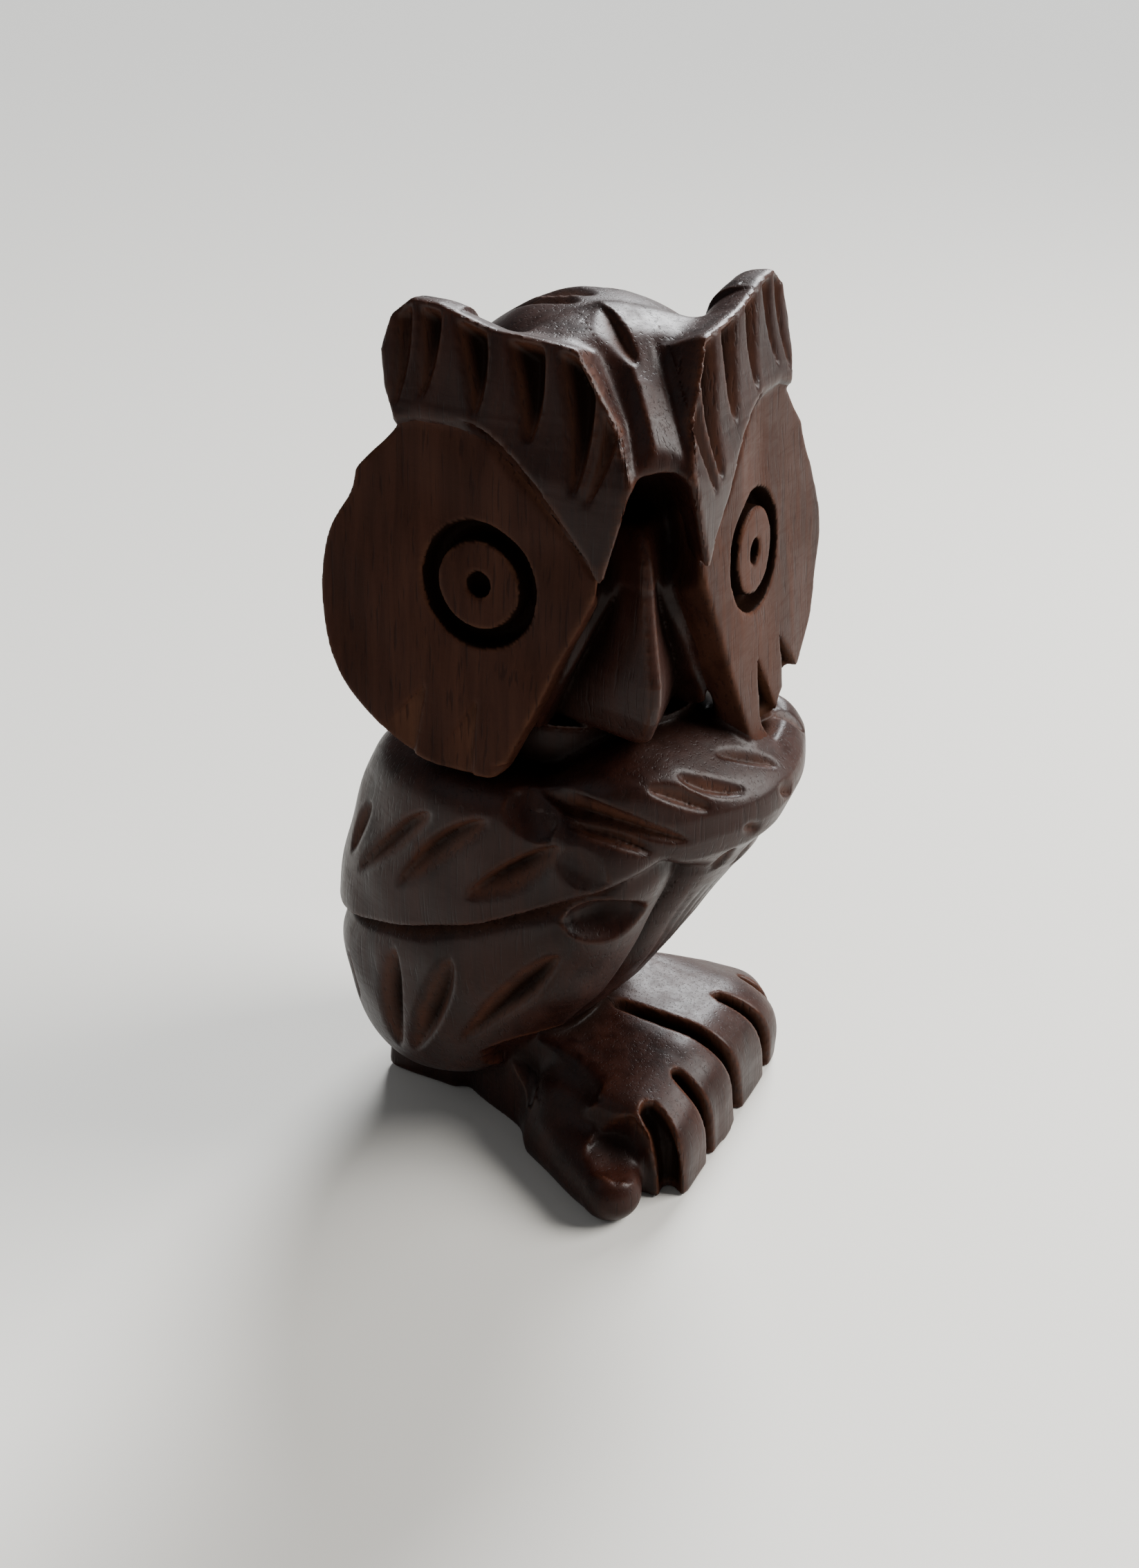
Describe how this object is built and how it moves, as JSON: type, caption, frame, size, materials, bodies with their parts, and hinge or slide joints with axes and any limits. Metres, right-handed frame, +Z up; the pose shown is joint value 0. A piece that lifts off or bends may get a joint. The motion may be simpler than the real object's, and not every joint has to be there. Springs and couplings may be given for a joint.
{
  "type": "carved wooden owl figurine",
  "caption": "Free-standing owl carved from one block of dark hardwood, its head turned over its right shoulder, with flat facial discs, ringed eyes, fluted ear tufts and gouged wings.",
  "frame": {"origin": "middle of the whole figure's footprint, on the surface it stands on", "axes": "+Z up; the owl's body faces -Y, its right wing is on -X; the head is turned 45 degrees towards -X"},
  "size_m": [0.0496, 0.059, 0.1167],
  "materials": {
    "hardwood": "waxed, satin; dark reddish-brown, near black in the cuts, with bare orange-brown wood where a gouge has opened the grain",
    "face_hardwood": "sanded flat and waxed, satin; reddish-brown with fine pores"
  },
  "bodies": {
    "root": {"crown": "hardwood", "crest": "hardwood", "disc_right": "face_hardwood", "disc_left": "face_hardwood", "iris_right": "face_hardwood", "iris_left": "face_hardwood", "brow_right": "hardwood", "brow_left": "hardwood", "beak": "hardwood", "bib": "hardwood", "belly": "hardwood", "back": "hardwood", "tail": "hardwood", "wing_right_upper": "hardwood", "wing_right_lower": "hardwood", "wing_left_upper": "hardwood", "wing_left_lower": "hardwood", "foot_right": "hardwood", "foot_left": "hardwood"}
  },
  "joints": []
}
